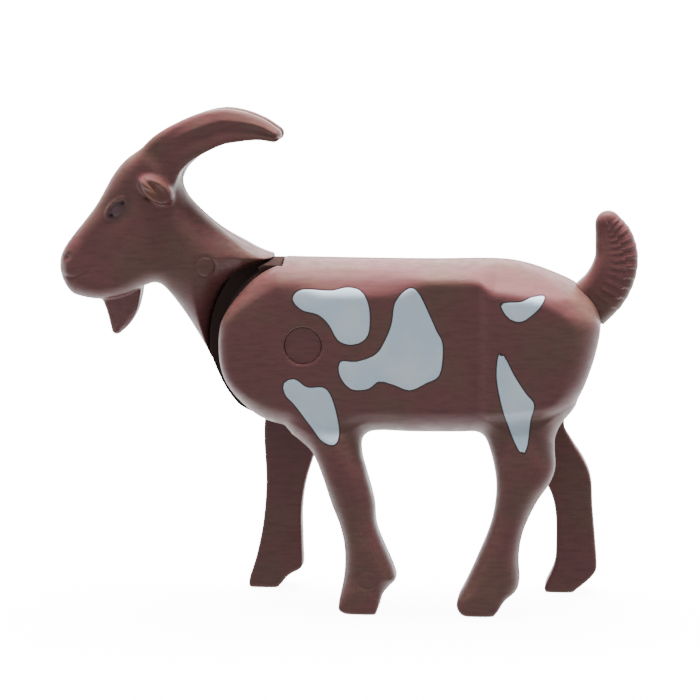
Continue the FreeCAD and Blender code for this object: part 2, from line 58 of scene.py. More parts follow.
# A moulded plastic toy goat. Lengths below are millimetres in the row's own frame: the goat faces
# -X, its left side is -Y and the ground is Z = 0. Outlines are lists of (x, z) in the goat's middle
# plane. Each moulding is worked out as a distance field, negative inside, on a regular grid.

MM = 0.001
CAD_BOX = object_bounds()
PIVOT_X, _, PIVOT_Z = [value / MM for value in frame["joints"][0]["pos_m"]]
LEFT, RIGHT = -1, 1
SIDE_NAMES = {LEFT: "left", RIGHT: "right"}

# Grid steps.
BODY_STEP = 0.2
HEAD_STEP = 0.14
TAIL_STEP = 0.1

# How far the back's crown falls away towards its edges, at CROWN_REACH from the middle plane.
BACK_CROWN = 1.1
BELLY_CROWN = 0.8
CROWN_REACH = 7.0

# The sloping upper flank: height of its lower crease along the goat, and its pitch.
CREASE_LINE = [(0.0, 40.5), (7.0, 38.0), (14.2, 37.7), (16.9, 36.3), (25.2, 35.3), (28.5, 32.0)]
CREASE_ACROSS = 8.6
ROOF_PITCH = 28.0

# Circles round the pivot, and the neck's slot between the shells.
RIM_RADIUS = 9.6
RIM_SWELL = 0.25
RIM_ANGLES = (256.0, 110.0)
CRESCENT_RADIUS = 11.2
LOBE_RADIUS = 11.1
LOBE_FOOT_RADIUS = 10.85
LOBE_END_FALL = 0.5
NAPE_RADIUS = 9.75
NAPE_ANGLES = (108.5, 124.0)
NAPE_TOP = 38.9
LOBE_HALF = 4.35
GROOVE_FLOOR = 2.2
LOBE_ANGLES = (120.0, 238.0)
HUB_RADIUS = 6.7
SLOT_RADIUS = 11.4
SLOT_HALF = 4.7
SLOT_ANGLES = (107.5, 286.0)
BORE_RADIUS = 2.05
BOSS_RADIUS = 3.6
SHELL_WALL = 1.3
LEAST_INNER_CORNER = 0.4

# Half widths of the trunk: the flank, its fall towards the rim, the step up to the thigh, the
# fall over the rump, and soft swellings as (height, middle, radii).
TRUNK_HALF = 8.15
RIM_BEVEL = 0.75
RIM_BEVEL_REACH = 4.5
HIP_STEP = 0.75
RUMP_TAPER = 0.9
TRUNK_DOMES = [
    (0.25, (-3.5, 28.0), (6.0, 6.0)),
    (-0.2, (10.0, 31.0), (4.0, 7.0)),
    (0.2, (21.0, 31.0), (4.5, 4.0)),
]

# How far each half runs past the middle plane, so that no light shows through the seam.
SEAM_OVERLAP = 0.004

# Trunk outline behind the rim: along the back, over the rump and back under the belly.
BACK = [
    (-6.4, 38.95), (-2.0, 38.9), (4.0, 38.85), (10.0, 38.85), (16.5, 38.95), (20.0, 38.5),
    (23.5, 37.3),
]
RUMP = [
    (25.8, 36.15), (27.6, 34.5), (28.4, 32.4), (28.2, 30.2), (27.5, 27.6), (26.45, 24.9),
    (24.7, 21.9),
]
BELLY = [
    (20.0, 20.3), (14.0, 19.8), (8.0, 19.7), (3.4, 19.75), (0.0, 18.7), (-3.2, 18.3),
    (-5.6, 19.6),
]

# Leg outlines, from the top of the front edge down, along the sole and up the back edge.
LEG_OUTLINES = {
    (LEFT, "front"): (
        [
            (-6.2, 21.6), (-4.3, 19.2), (-3.1, 17.4), (-2.2, 15.4), (-1.1, 12.0), (-0.25, 9.8),
            (0.3, 7.4), (0.3, 4.5),
        ],
        [
            (-0.25, 1.1), (0.1, 0.25), (1.2, 0.0), (3.6, 0.0), (4.05, 0.35), (4.6, 2.1),
            (5.3, 3.0), (6.05, 3.9),
        ],
        [
            (5.6, 5.5), (4.5, 8.0), (3.8, 10.0), (3.55, 12.6), (2.7, 15.8), (2.15, 18.0),
            (2.35, 20.2), (4.0, 22.0),
        ],
    ),
    (LEFT, "hind"): (
        [
            (13.7, 23.0), (15.3, 20.6), (16.3, 18.6), (17.0, 16.0), (17.1, 13.4), (16.5, 10.1),
            (15.15, 6.6), (13.95, 3.9),
        ],
        [
            (12.9, 1.7), (13.1, 0.6), (14.0, 0.0), (16.6, 0.0), (17.3, 0.4), (18.2, 1.7),
            (19.3, 2.6), (19.75, 3.7),
        ],
        [
            (19.65, 6.5), (20.2, 9.5), (21.6, 12.6), (22.9, 14.6), (23.6, 16.4), (23.5, 18.6),
            (23.7, 20.2), (25.4, 23.4),
        ],
    ),
    (RIGHT, "front"): (
        [
            (-9.2, 22.6), (-9.9, 20.0), (-10.0, 17.0), (-9.8, 13.4), (-9.9, 10.2), (-10.3, 6.8),
            (-11.0, 3.6),
        ],
        [
            (-11.75, 1.2), (-11.8, 0.2), (-11.3, 0.0), (-8.8, 0.0), (-8.3, 0.25), (-7.2, 1.5),
            (-6.0, 2.2), (-5.6, 2.9),
        ],
        [(-5.65, 5.5), (-5.7, 9.0), (-5.3, 12.2), (-4.4, 15.3), (-3.4, 18.0), (-2.4, 20.5)],
    ),
    (RIGHT, "hind"): (
        [
            (16.4, 23.0), (17.3, 20.0), (19.0, 17.2), (21.0, 14.6), (22.7, 12.0), (23.4, 9.4),
            (23.5, 5.8), (23.3, 3.4),
        ],
        [
            (22.3, 0.9), (22.25, 0.2), (22.7, 0.0), (25.2, 0.0), (26.0, 0.5), (27.3, 1.6),
            (28.0, 2.5), (28.15, 3.4),
        ],
        [
            (27.9, 6.6), (27.6, 10.0), (27.4, 13.2), (26.6, 15.4), (25.0, 18.0), (24.3, 19.8),
            (25.2, 23.0),
        ],
    ),
}
LEG_INNER = 4.85
LEG_OUTER = 9.0
LEG_OUTER_CORNER = 2.1
SOLE_CORNER = 0.45
LEG_INNER_CORNER = 0.35
THIGH_FILLET = 1.1

# Head and neck outline: down the face, along the jaw, down the throat; the nape is listed from
# its rear tip up to the horns.
FACE = [
    (-24.3, 50.2), (-26.1, 48.2), (-28.2, 44.65), (-31.0, 41.1), (-32.2, 39.2), (-32.45, 37.7),
    (-32.1, 36.3),
]
JAW = [(-31.2, 35.0), (-30.2, 34.45), (-27.6, 34.15), (-25.0, 34.7), (-22.6, 35.8), (-21.3, 36.15)]
THROAT = [(-20.2, 35.4), (-18.3, 32.7), (-16.7, 30.2), (-15.7, 28.5), (-15.0, 27.0)]
NAPE = [
    (-8.3, 39.25), (-9.6, 39.68), (-11.0, 40.3), (-13.5, 41.75), (-16.05, 43.85), (-18.0, 46.0),
    (-18.9, 48.2),
]
POLL = [(-20.0, 50.0), (-22.3, 51.1)]
CRESCENT_ANGLES = (194.0, 114.0)
CRESCENT_TAPER = 1.4

# Half widths of the head as (x, half width), with swellings as (height, middle, radii, turn).
HEAD_WIDTHS = [
    (-32.6, 1.7),
    (-31.4, 2.5),
    (-29.5, 2.95),
    (-27.0, 3.3),
    (-24.5, 3.8),
    (-21.5, 4.1),
    (-19.0, 3.9),
    (-16.5, 4.1),
    (-13.5, 4.6),
    (-11.5, 4.8),
    (-9.5, 4.4),
    (-6.5, 4.4),
]
HEAD_DOMES = [
    (0.3, (-22.5, 40.0), (2.6, 2.8), 0.0),
    (-0.35, (-25.4, 44.4), (1.9, 1.4), 45.0),
    (-0.25, (-28.2, 39.6), (1.6, 3.0), 35.0),
]
MOUTH = [(-32.1, 36.9), (-30.6, 36.7), (-29.0, 37.3)]
MOUTH_DEPTH = 0.16
MOUTH_WIDTH = 0.2
NOSTRIL = (-0.3, (-31.3, 38.9), (0.42, 0.28), 40.0)
EYE_MIDDLE = (-25.45, 44.45)
EYE_TURN = 48.0
EYE_CORNERS = [(-24.9, 45.1), (-26.1, 43.8)]

# Ribbons: x, z and half depth at points along a curved piece.
HORN = [
    (-21.3, 48.4, 2.6),
    (-20.2, 50.3, 2.5),
    (-17.9, 52.05, 2.25),
    (-14.5, 53.5, 2.0),
    (-12.2, 53.7, 1.72),
    (-9.8, 53.4, 1.2),
    (-8.0, 52.75, 0.78),
]
HORN_INNER, HORN_OUTER = 0.35, 3.7
BEARD = [(-25.5, 35.4, 2.4), (-25.4, 33.6, 1.9), (-25.65, 32.0, 1.3), (-26.1, 30.6, 0.6)]
TAIL = [
    (26.7, 33.6, 2.7), (28.9, 35.9, 2.62), (30.0, 38.6, 2.45), (29.85, 41.0, 2.15),
    (29.1, 43.0, 1.45),
]
TAIL_BASE = (27.15, 34.0)
TAIL_BASE_TURN = 33.4

EAR_MIDDLE = (-21.1, 46.5)
EAR_TURN = -35.0

NECK_RING = (-15.5, 38.2, 1.15)
FOOT_RING = (2.95, 4.1, 1.05)
NECK_RING_DEPTH = 0.14
FOOT_RING_DEPTH = 0.12

# Pale coat patches on each flank: how proud the paint stands, how near the middle plane it may
# come, and the distance stored where there is none.
PATCH_RISE = 0.04
PATCH_INNER = 4.9
PATCH_FAR = 2.0
PATCHES = [
    [
        (-5.3, 35.2), (-4.3, 36.2), (-1.1, 36.1), (0.7, 36.45), (2.3, 36.0), (3.1, 34.3),
        (3.1, 31.7), (2.4, 30.6), (1.1, 30.2), (-0.3, 30.7), (-1.3, 32.4), (-2.5, 33.5),
        (-4.3, 34.0),
    ],
    [
        (7.4, 36.4), (8.5, 36.0), (9.7, 33.6), (10.5, 31.8), (11.2, 30.2), (10.9, 27.0),
        (9.4, 26.0), (7.6, 25.2), (5.8, 25.8), (4.2, 26.15), (3.0, 25.3), (1.1, 25.3),
        (-0.1, 26.8), (0.0, 28.3), (1.7, 28.3), (3.8, 29.1), (4.8, 30.5), (5.6, 32.5),
        (6.0, 34.9),
    ],
    [
        (-6.3, 25.8), (-5.1, 26.3), (-3.7, 25.4), (-1.7, 25.3), (-0.7, 23.3), (-0.2, 20.3),
        (-0.7, 19.1), (-2.1, 19.5), (-3.3, 21.0), (-5.1, 23.4), (-6.1, 24.5),
    ],
    [
        (17.4, 29.3), (18.0, 29.2), (19.1, 27.1), (20.4, 25.1), (21.3, 23.9), (20.9, 22.0),
        (20.6, 19.4), (20.1, 18.4), (19.4, 19.3), (18.4, 21.6), (17.6, 24.5), (17.2, 27.0),
    ],
    [
        (17.6, 34.8), (18.3, 35.1), (19.8, 35.2), (20.9, 35.65), (22.3, 35.75), (21.9, 34.7),
        (20.9, 33.7), (19.8, 33.05), (18.5, 33.4),
    ],
]


# ---------------------------------------------------------------------------
# Plane geometry


def smooth_line(points, per_span=8, closed=False):
    """A Catmull-Rom curve through the points."""
    points = np.array(points, float)
    if closed:
        padded = np.vstack([points[-1:], points, points[:2]])
    else:
        padded = np.vstack([2 * points[:1] - points[1:2], points, 2 * points[-1:] - points[-2:-1]])
    t = np.linspace(0, 1, per_span, endpoint=False)[:, None]
    spans = []
    for a, b, c, d in zip(padded, padded[1:], padded[2:], padded[3:]):
        linear = 2 * b + (c - a) * t
        square = (2 * a - 5 * b + 4 * c - d) * t**2
        cube = (3 * b - a - 3 * c + d) * t**3
        spans.append(0.5 * (linear + square + cube))
    if not closed:
        spans.append(points[-1:])
    return np.vstack(spans)


def pivot_curve(radius_at, first, last, count=24):
    """Points round the pivot between two angles in degrees, with a radius for each angle."""
    angles = np.linspace(first, last, count)
    radii, turns = radius_at(angles), np.radians(angles)
    return np.stack([PIVOT_X + radii * np.cos(turns), PIVOT_Z + radii * np.sin(turns)], axis=1)


def edge_distance(outline, x, z):
    """Signed distance from every (x, z) to a closed outline, negative inside."""
    best = np.full(np.broadcast(x, z).shape, np.inf)
    inside = np.zeros(best.shape, bool)
    for (ax, az), (bx, bz) in zip(outline, np.roll(outline, -1, axis=0)):
        dx, dz = bx - ax, bz - az
        length = dx * dx + dz * dz
        if length < 1e-12:
            continue
        t = np.clip(((x - ax) * dx + (z - az) * dz) / length, 0, 1)
        best = np.minimum(best, (x - ax - t * dx) ** 2 + (z - az - t * dz) ** 2)
        if az != bz:
            inside ^= ((az > z) != (bz > z)) & (x < ax + (z - az) * dx / dz)
    return np.where(inside, -1.0, 1.0) * np.sqrt(best)


def ribbon(stations, x, z):
    """Signed edge distance of a curved ribbon, the share along it and the signed share across."""
    line = smooth_line(stations, 10)
    best = np.full(np.broadcast(x, z).shape, np.inf)
    along = np.zeros(best.shape)
    offset = np.zeros(best.shape)
    count = len(line) - 1
    for number, ((ax, az, ah), (bx, bz, bh)) in enumerate(zip(line, line[1:])):
        dx, dz = bx - ax, bz - az
        length = math.hypot(dx, dz)
        t = np.clip(((x - ax) * dx + (z - az) * dz) / length**2, 0, 1)
        reach = np.hypot(x - ax - t * dx, z - az - t * dz)
        half = ah + t * (bh - ah)
        nearer = reach - half < best
        best = np.where(nearer, reach - half, best)
        along = np.where(nearer, (number + t) / count, along)
        side = ((x - ax) * dz - (z - az) * dx) / length
        offset = np.where(nearer, np.sign(side) * reach / half, offset)
    return best, along, offset


def fade(value, start, end):
    """0 before start and 1 after end, eased between."""
    t = np.clip((value - start) / (end - start), 0, 1)
    return t * t * (3 - 2 * t)


def turned(dx, dz, turn):
    """Offsets measured along axes turned by an angle in degrees."""
    c, s = math.cos(math.radians(turn)), math.sin(math.radians(turn))
    return dx * c + dz * s, dz * c - dx * s


def dome(x, z, middle, radii, turn=0.0):
    """A smooth bump of height 1 at the middle, falling to 0 at about twice the radii."""
    u, v = turned(x - middle[0], z - middle[1], turn)
    return np.exp(-((u / radii[0]) ** 2 + (v / radii[1]) ** 2))


def domes(x, z, table):
    """The sum of bumps listed as (height, middle, radii) or (height, middle, radii, turn)."""
    return sum(height * dome(x, z, *shape) for height, *shape in table)


def turn_about_pivot(x, z):
    """The angle of each point round the pivot, in degrees from 0 to 360."""
    return np.degrees(np.arctan2(z - PIVOT_Z, x - PIVOT_X)) % 360


def ring(x, z, mark, width=0.13):
    """1 on a circle and 0 away from it."""
    reach = np.hypot(x - mark[0], z - mark[1]) - mark[2]
    return np.exp(-((reach / width) ** 2))


# ---------------------------------------------------------------------------
# Solids as distance fields


def slab(edge, across, corner):
    """A solid with the given edge distance and side distance, its corner rounded."""
    a, b = edge + corner, across + corner
    return np.minimum(np.maximum(a, b), 0) + np.hypot(np.maximum(a, 0), np.maximum(b, 0)) - corner


def join(a, b, blend):
    """Union with a soft fillet."""
    h = np.clip(0.5 + 0.5 * (b - a) / blend, 0, 1)
    return b + (a - b) * h - blend * h * (1 - h)


def meet(a, b, blend):
    """The part of a inside b, with an eased edge."""
    return -join(-a, -b, blend)


def cut(a, b, blend=0.05):
    """The part of a outside b, with an eased edge."""
    return -join(-a, b, blend)


def sector(grid, radius, angles, half):
    """A slice of a disc round the pivot, spanning less than half a turn."""
    vx, vz = grid.x - PIVOT_X, grid.z - PIVOT_Z
    first, last = np.radians(angles)
    before = -(math.cos(first) * vz - math.sin(first) * vx)
    after = -(vx * math.sin(last) - vz * math.cos(last))
    edge = np.maximum(np.hypot(vx, vz) - radius, np.maximum(before, after))
    return np.maximum(edge, np.abs(grid.y) - half)


class Grid:
    """A regular grid over a box, as broadcasting coordinate arrays."""

    def __init__(self, low, high, step):
        self.low, self.step = np.array(low, float), step
        counts = [int(math.ceil((b - a) / step)) + 1 for a, b in zip(low, high)]
        axes = [a + step * np.arange(n) for a, n in zip(low, counts)]
        self.x = axes[0][:, None, None]
        self.y = axes[1][None, :, None]
        self.z = axes[2][None, None, :]
        self.shape = tuple(counts)

    def flat(self):
        """The x and z coordinates as a sheet one cell thick across the goat."""
        return self.x[:, 0, :] + 0 * self.z[0], self.z[0] + 0 * self.x[:, 0, :]


def lift(sheet):
    """A sheet over x and z, as an array that broadcasts across the goat."""
    return sheet[:, None, :]


def mesh_from(field, grid, name, ratio):
    """Mesh the zero surface of a field, thinned to the ratio of its faces."""
    volume = openvdb.FloatGrid(10.0)
    volume.copyFromArray(np.ascontiguousarray(np.broadcast_to(field, grid.shape), dtype=np.float32))
    points, quads = volume.convertToQuads(isovalue=0.0)
    points = (points * grid.step + grid.low) * MM
    mesh = bpy.data.meshes.new(name)
    mesh.from_pydata(points.tolist(), [], quads.tolist())
    mesh.update()
    piece = bpy.data.objects.new(name, mesh)
    bpy.context.scene.collection.objects.link(piece)
    thin = piece.modifiers.new("thin", "DECIMATE")
    thin.ratio = ratio
    thinned = piece.evaluated_get(bpy.context.evaluated_depsgraph_get())
    finished = bpy.data.meshes.new_from_object(thinned)
    piece.modifiers.clear()
    piece.data = finished
    piece.data.polygons.foreach_set("use_smooth", [True] * len(piece.data.polygons))
    return piece


# ---------------------------------------------------------------------------
# Trunk and legs


def rim_radius(angle):
    """How far the shell's rim stands from the pivot, fuller over the chest."""
    return RIM_RADIUS + RIM_SWELL * fade(angle, 180, 205) * (1 - fade(angle, 238, 256))


def trunk_outline():
    """The trunk in side view, with the round rim in front."""
    rim = pivot_curve(rim_radius, *RIM_ANGLES)
    return np.vstack([rim, smooth_line(BACK + RUMP + BELLY, 6)])


def trunk_half_width(x, z, edge):
    """Half the trunk's width at each point of the side view: flank, thigh, shoulder and hip."""
    near_rim = np.clip(1 + edge / RIM_BEVEL_REACH, 0, 1) ** 2 * (1 - fade(x, -6.0, 2.0))
    hip = fade(x, 14.9, 16.5)
    rump = fade(x, 24.0, 29.0) * fade(z, 25.0, 34.0)
    width = TRUNK_HALF - RIM_BEVEL * near_rim + HIP_STEP * hip - RUMP_TAPER * rump
    return width + domes(x, z, TRUNK_DOMES)


def trunk_corner(x, z):
    """How round the trunk's edges are: sharper at the rim and rear back, rounder below."""
    top = fade(z, 34.0, 37.0)
    behind_rim = fade(x, -6.0, -1.0)
    corner = 1.3 + 0.7 * behind_rim
    corner = corner + 0.8 * top * behind_rim * (1 - fade(x, 3.0, 10.0))
    corner = corner - 1.2 * top * fade(x, 5.0, 10.0)
    corner = corner + 1.2 * (1 - fade(z, 22.0, 26.0))
    return corner + 1.1 * fade(x, 22.0, 26.0) * (1 - top)


def roof(x, z, across):
    """Distance above the sloping upper flank."""
    pitch = math.radians(ROOF_PITCH)
    rise = z - np.interp(x, *zip(*CREASE_LINE))
    return (across - CREASE_ACROSS) * math.sin(pitch) + lift(rise) * math.cos(pitch)


def leg_outline(side, part):
    """One leg in side view, closed across its top inside the trunk."""
    front, sole, back = LEG_OUTLINES[(side, part)]
    return smooth_line(front + sole + back, 6)


def leg_field(side, part, grid):
    """Distance field of one leg, squared off at the sole and rounder up the thigh."""
    x, z = grid.flat()
    across = np.abs(grid.y)
    edge = lift(edge_distance(leg_outline(side, part), x, z))
    outer = LEG_OUTER - 0.25 * fade(z, 7.0, 11.0) * (1 - fade(z, 11.0, 15.0))
    outer = outer + 0.15 * (1 - fade(z, 2.0, 4.5)) - 0.9 * fade(z, 17.0, 24.0)
    corner = SOLE_CORNER + (LEG_OUTER_CORNER - SOLE_CORNER) * fade(z, 0.4, 3.5)
    corner = corner + 1.6 * fade(z, 15.0, 21.0)
    outward = slab(edge, across - lift(outer), lift(corner))
    inward = slab(edge, LEG_INNER - across, LEG_INNER_CORNER)
    return np.maximum(outward, inward)


def body_half(side):
    """Distance field and grid of one half of the trunk with its legs."""
    low_y, high_y = (-10.4, 0.4) if side == LEFT else (-0.4, 10.4)
    grid = Grid((-14.6, low_y, -0.5), (29.4, high_y, 39.6), BODY_STEP)
    x, z = grid.flat()
    across = np.abs(grid.y)
    edge = edge_distance(trunk_outline(), x, z)
    half, corner = trunk_half_width(x, z, edge), trunk_corner(x, z)
    crown = BACK_CROWN * fade(z, 32.0, 36.0)
    crown = crown + BELLY_CROWN * (1 - fade(z, 20.0, 25.0)) * fade(x, -2.0, 2.0)
    crowned = lift(edge) + lift(crown) * (across / CROWN_REACH) ** 2
    solid = slab(crowned, across - lift(half), lift(corner))
    solid = meet(solid, roof(x, z, across), 0.8)
    inner_corner = lift(np.maximum(corner - SHELL_WALL, LEAST_INNER_CORNER))
    cavity = slab(crowned + SHELL_WALL, across - lift(half) + SHELL_WALL, inner_corner)
    reach = lift(np.hypot(x - PIVOT_X, z - PIVOT_Z))
    cavity = cut(cavity, np.maximum(reach - BOSS_RADIUS, SLOT_HALF - across))
    solid = cut(solid, cavity)
    for part in ("front", "hind"):
        solid = join(solid, leg_field(side, part, grid), THIGH_FILLET)
    slot = sector(grid, SLOT_RADIUS, SLOT_ANGLES, SLOT_HALF)
    solid = cut(solid, slot, 0.1)
    solid = cut(solid, reach - BORE_RADIUS, 0.12)
    if side == LEFT:
        solid = solid + FOOT_RING_DEPTH * lift(ring(x, z, FOOT_RING))
    solid = np.maximum(solid, -grid.z)
    return meet(solid, -SEAM_OVERLAP - grid.y * side, 0.12), grid


# ---------------------------------------------------------------------------
# Head


def crescent_radius(angle):
    """How far the neck's hollowed edge stands from the pivot, drawn in near the nape."""
    return CRESCENT_RADIUS - CRESCENT_TAPER * (1 - fade(angle, 112.0, 145.0))


def head_outline():
    """Skull and neck in side view, hollowed behind where the neck meets the shells."""
    hollow = pivot_curve(crescent_radius, *CRESCENT_ANGLES)
    return np.vstack([smooth_line(NAPE + POLL + FACE + JAW + THROAT, 6), hollow])


def head_half_width(x, z):
    """Half the head's width at each point of the side view."""
    return np.interp(x, *zip(*HEAD_WIDTHS)) + domes(x, z, HEAD_DOMES)


def eye(x, z):
    """Relief of the eye: a bulging almond in a sunk ring, with a lid ridge round it."""
    u, v = turned(x - EYE_MIDDLE[0], z - EYE_MIDDLE[1], EYE_TURN)
    reach = np.hypot(u / (1.25 - 0.2 * v), (v - 0.1 * u * u) / 0.72)
    ball = 0.32 * np.clip(1 - (reach / 0.8) ** 2, 0, 1) ** 0.6
    upper = 0.3 + 0.7 * fade(v, -0.5, 0.5)
    lids = 0.26 * upper * np.exp(-(((reach - 1.2) / 0.24) ** 2))
    corners = -0.25 * (dome(u, v, (1.0, 0.05), (0.28, 0.2)) + dome(u, v, (-1.0, 0.05), (0.28, 0.2)))
    return ball + lids + corners


def mouth(x, z):
    """Relief of the mouth line and the nostril."""
    reach = np.min([np.hypot(x - px, z - pz) for px, pz in smooth_line(MOUTH, 8)], axis=0)
    return domes(x, z, [NOSTRIL]) - MOUTH_DEPTH * np.exp(-((reach / MOUTH_WIDTH) ** 2))


def under_ear(x, z):
    """The hollow of the head under the ear's lip."""
    return -1.3 * dome(x, z, (EAR_MIDDLE[0] - 0.65, EAR_MIDDLE[1] - 0.5), (0.6, 0.34), EAR_TURN)


def ear(grid, across):
    """A cupped ear that points sideways, with a raised lip under its opening."""
    u, v = turned(grid.x - EAR_MIDDLE[0], grid.z - EAR_MIDDLE[1], EAR_TURN)

    def pod(middle, radii):
        offsets = (u - middle[0], v - middle[1], across - middle[2])
        return (np.sqrt(sum((a / r) ** 2 for a, r in zip(offsets, radii))) - 1) * min(radii)

    cup = pod((0.0, 0.3, 3.9), (2.2, 1.35, 1.75))
    bowl = pod((0.3, 0.25, 5.6), (1.65, 0.85, 0.85))
    lip = pod((-0.8, 0.15, 4.6), (1.0, 0.3, 0.9))
    return join(cut(cup, bowl, 0.35), lip, 0.3)


def horn(x, z, across):
    """A scimitar horn with a sloped top facet, a sharp ridge and a shallow hollow below it."""
    edge, along, offset = ribbon(HORN, x, z)
    faceted = fade(along, 0.2, 0.45)
    facet = np.clip((-0.35 - offset) / 0.65, 0, 1)
    hollow = dome(offset, 0 * offset, (0.15, 0), (0.34, 1)) * 0.24
    outer = HORN_OUTER - 0.9 * fade(along, 0.3, 1.0) - faceted * (0.75 * facet + hollow)
    outward = slab(lift(edge), across - lift(outer), lift(0.9 - 0.55 * faceted))
    inward = slab(lift(edge), HORN_INNER + 0.3 * lift(along) - across, 0.3)
    return np.maximum(outward, inward)


def beard(x, z, across):
    """A pointed beard, combed into strands towards its tip."""
    edge, along, offset = ribbon(BEARD, x, z)
    strands = 0.06 * np.sin(offset * 9.0) * fade(along, 0.2, 0.5)
    return slab(lift(edge), across - lift(1.75 - 1.1 * along + strands), 0.55)


def neck_core(grid, crown):
    """What the neck holds between the shells: the grooved lobe, the nape's end and the hub."""
    x, z = grid.flat()
    across = np.abs(grid.y)
    reach = lift(np.hypot(x - PIVOT_X, z - PIVOT_Z))
    turn = turn_about_pivot(x, z)
    radius = LOBE_RADIUS + (LOBE_FOOT_RADIUS - LOBE_RADIUS) * fade(turn, 186.0, 204.0)
    radius = lift(radius - LOBE_END_FALL * fade(turn, 222.0, 238.0))
    groove = fade(reach, RIM_RADIUS - 0.4, RIM_RADIUS + 0.1)
    half = LOBE_HALF - (LOBE_HALF - GROOVE_FLOOR) * groove
    lobe = sector(grid, radius, LOBE_ANGLES, half)
    nape = sector(grid, NAPE_RADIUS, NAPE_ANGLES, LOBE_HALF)
    nape = np.maximum(nape, grid.z + crown - NAPE_TOP)
    hub = np.maximum(reach - HUB_RADIUS, across - LOBE_HALF)
    return np.minimum(np.minimum(lobe, nape), hub)


def head_half(side):
    """Distance field and grid of one half of the head and neck."""
    low_y, high_y = (-8.2, 0.3) if side == LEFT else (-0.3, 8.2)
    grid = Grid((-32.9, low_y, 20.0), (3.0, high_y, 56.4), HEAD_STEP)
    x, z = grid.flat()
    across = np.abs(grid.y)
    edge = edge_distance(head_outline(), x, z)
    relief = eye(x, z) + mouth(x, z) + under_ear(x, z) - NECK_RING_DEPTH * ring(x, z, NECK_RING)
    half = head_half_width(x, z)
    neck = fade(x, -22.0, -17.5)
    corner = 1.9 + 1.9 * neck - 3.2 * fade(x, -15.0, -9.5) - 0.5 * (1 - fade(x, -32.0, -30.0))
    crown = BACK_CROWN * lift(fade(x, -16.0, -9.0)) * (across / CROWN_REACH) ** 2
    solid = slab(lift(edge) + crown, across - lift(half + relief), lift(corner))
    solid = join(solid, beard(x, z, across), 0.35)
    solid = join(solid, horn(x, z, across), 0.7)
    solid = join(solid, ear(grid, across), 0.45)
    solid = join(solid, neck_core(grid, crown), 0.15)
    reach = lift(np.hypot(x - PIVOT_X, z - PIVOT_Z))
    solid = cut(solid, reach - BORE_RADIUS, 0.1)
    return meet(solid, -SEAM_OVERLAP - grid.y * side, 0.1), grid


# ---------------------------------------------------------------------------
# Tail


def tail_field():
    """Distance field and grid of the tail, with combed ridges over its back half."""
    grid = Grid((25.0, -3.0, 31.0), (33.2, 3.0, 45.2), TAIL_STEP)
    x, z = grid.flat()
    across = np.abs(grid.y)
    edge, along, offset = ribbon(TAIL, x, z)
    phase = along * 13.0 - 0.35 * offset
    saw = phase - np.floor(phase)
    ridges = (0.16 * (1 - saw) - 0.08) * fade(offset, -0.35, 0.0) * fade(along, 0.12, 0.22)
    half = 2.35 - 0.75 * fade(along, 0.3, 1.0)
    solid = slab(lift(edge - 0.35 * ridges), across - lift(half + ridges), 1.5 - 0.4 * lift(along))
    turn = math.radians(TAIL_BASE_TURN)
    behind = (grid.x - TAIL_BASE[0]) * math.cos(turn) + (grid.z - TAIL_BASE[1]) * math.sin(turn)
    return cut(solid, behind, 0.08), grid


# ---------------------------------------------------------------------------
# Materials


# Painted shade: a thin dark line round each pale patch, standing for the shade at the raised
# paint's edge.
PATCH_EDGE_SHADE = (0.02, 0.009, 0.013)
PATCH_BLUE = (0.47, 0.59, 0.7)
PATCH_GREY = (0.55, 0.64, 0.71)
BROWN = (0.12, 0.043, 0.043)
OLIVE_BROWN = (0.108, 0.053, 0.041)
DARK_BROWN = (0.068, 0.023, 0.024)
EYE_PURPLE = (0.12, 0.065, 0.1)
EYE_DARK = (0.03, 0.013, 0.028)
EAR_ORANGE = (0.24, 0.1, 0.065)
# Painted shade: the colour given to the deep groove round the neck's joint, where the neck meets
# the shells.
GROOVE_PAINTED_SHADE = (0.028, 0.014, 0.012)
ROUGHNESS = (0.35, 0.47)


def set_range(node, start, end, low, high):
    """Fill in a Map Range node."""
    labels = ("From Min", "From Max", "To Min", "To Max")
    for label, number in zip(labels, (start, end, low, high)):
        node.inputs[label].default_value = number


